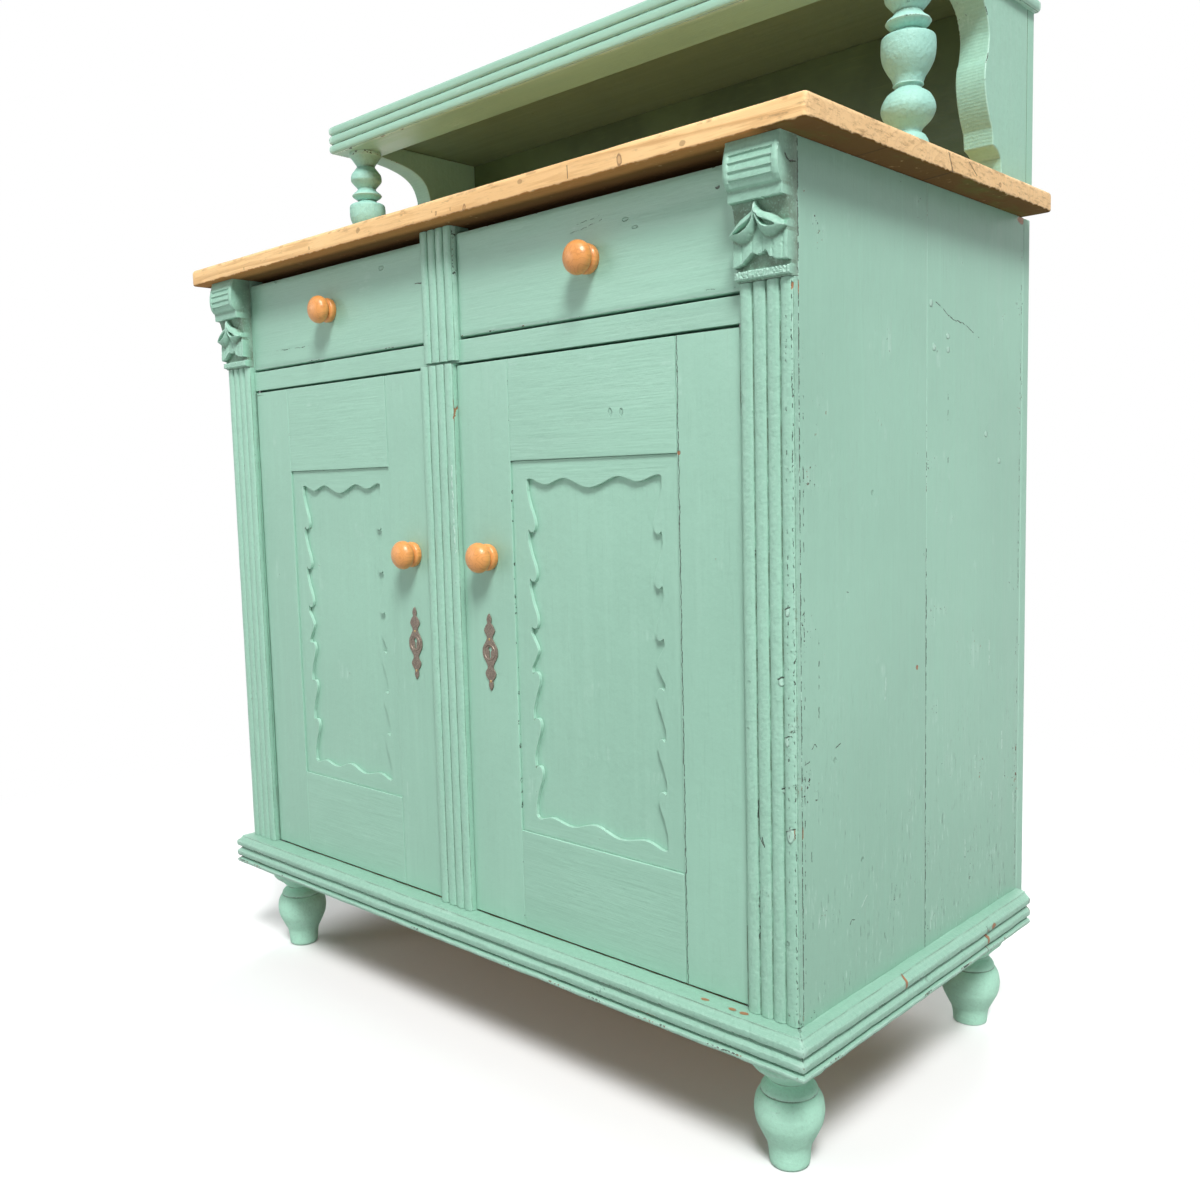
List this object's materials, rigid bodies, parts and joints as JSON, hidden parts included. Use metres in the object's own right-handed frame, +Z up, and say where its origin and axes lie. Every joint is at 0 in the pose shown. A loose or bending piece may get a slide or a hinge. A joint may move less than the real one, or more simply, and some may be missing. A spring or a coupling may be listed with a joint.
{
  "type": "painted storage cabinet",
  "caption": "Painted pine cupboard with paired doors and drawers, reeded strips, turned feet, a waxed worktop and a turned gallery with a shelf above it",
  "frame": {"origin": "on the floor, under the middle of the whole piece's outside", "axes": "+Z up from the floor, the doors and drawers face -Y, +X to the right seen from the front"},
  "size_m": [1.028, 0.528, 1.2328],
  "materials": {
    "sage_paint": "sage green paint on pine, satin, worn at the arrises",
    "gallery_back_paint": "dark olive paint on pine, matte",
    "waxed_worktop": "waxed pine, satin",
    "raw_pine": "bare sawn pine, matte",
    "waxed_knob": "turned and waxed",
    "aged_brass": "dark with age",
    "steel": "plain, dull"
  },
  "bodies": {
    "carcass": {"back_boards": "sage_paint", "bottom_board": "raw_pine", "capital_left": "sage_paint", "capital_right": "sage_paint", "centre_post": "sage_paint", "centre_strip_lower": "sage_paint", "centre_strip_upper": "sage_paint", "column_left": "sage_paint", "column_right": "sage_paint", "corner_post_left": "sage_paint", "corner_post_right": "sage_paint", "corner_strip_left": "sage_paint", "corner_strip_right": "sage_paint", "drawer_bed": "raw_pine", "drawer_rail": "sage_paint", "foot_front_left": "sage_paint", "foot_front_right": "sage_paint", "foot_rear_left": "sage_paint", "foot_rear_right": "sage_paint", "gallery_back": "gallery_back_paint", "gallery_moulding": "sage_paint", "gallery_shelf": "sage_paint", "gallery_side_left": "sage_paint", "gallery_side_right": "sage_paint", "inner_shelf": "raw_pine", "pivot_left_lower": "steel", "pivot_left_upper": "steel", "pivot_right_lower": "steel", "pivot_right_upper": "steel", "plinth_front": "sage_paint", "plinth_left": "sage_paint", "plinth_right": "sage_paint", "side_panel_left": "sage_paint", "side_panel_right": "sage_paint", "worktop": "waxed_worktop"},
    "door_left": {"door_left_bottom_rail": "sage_paint", "door_left_escutcheon": "aged_brass", "door_left_fret": "sage_paint", "door_left_hinge_stile": "sage_paint", "door_left_knob": "waxed_knob", "door_left_lock_case": "steel", "door_left_lock_stile": "sage_paint", "door_left_panel": "sage_paint", "door_left_top_rail": "sage_paint"},
    "drawer_left": {"drawer_left_box": "raw_pine", "drawer_left_front": "sage_paint", "drawer_left_knob": "waxed_knob"},
    "door_right": {"door_right_bottom_rail": "sage_paint", "door_right_escutcheon": "aged_brass", "door_right_fret": "sage_paint", "door_right_hinge_stile": "sage_paint", "door_right_knob": "waxed_knob", "door_right_lock_case": "steel", "door_right_lock_stile": "sage_paint", "door_right_panel": "sage_paint", "door_right_top_rail": "sage_paint"},
    "drawer_right": {"drawer_right_box": "raw_pine", "drawer_right_front": "sage_paint", "drawer_right_knob": "waxed_knob"}
  },
  "joints": [
    {"name": "door_left_hinge", "type": "hinge", "parent": "carcass", "child": "door_left", "pos_m": [-0.416, -0.2225, 0.492], "axis": [0, 0, -1], "range_deg": [0, 92]},
    {"name": "door_right_hinge", "type": "hinge", "parent": "carcass", "child": "door_right", "pos_m": [0.416, -0.2225, 0.492], "axis": [0, 0, 1], "range_deg": [0, 92]},
    {"name": "drawer_left_slide", "type": "slide", "parent": "carcass", "child": "drawer_left", "axis": [0, -1, 0], "range_m": [0, 0.3]},
    {"name": "drawer_right_slide", "type": "slide", "parent": "carcass", "child": "drawer_right", "axis": [0, -1, 0], "range_m": [0, 0.3]}
  ]
}
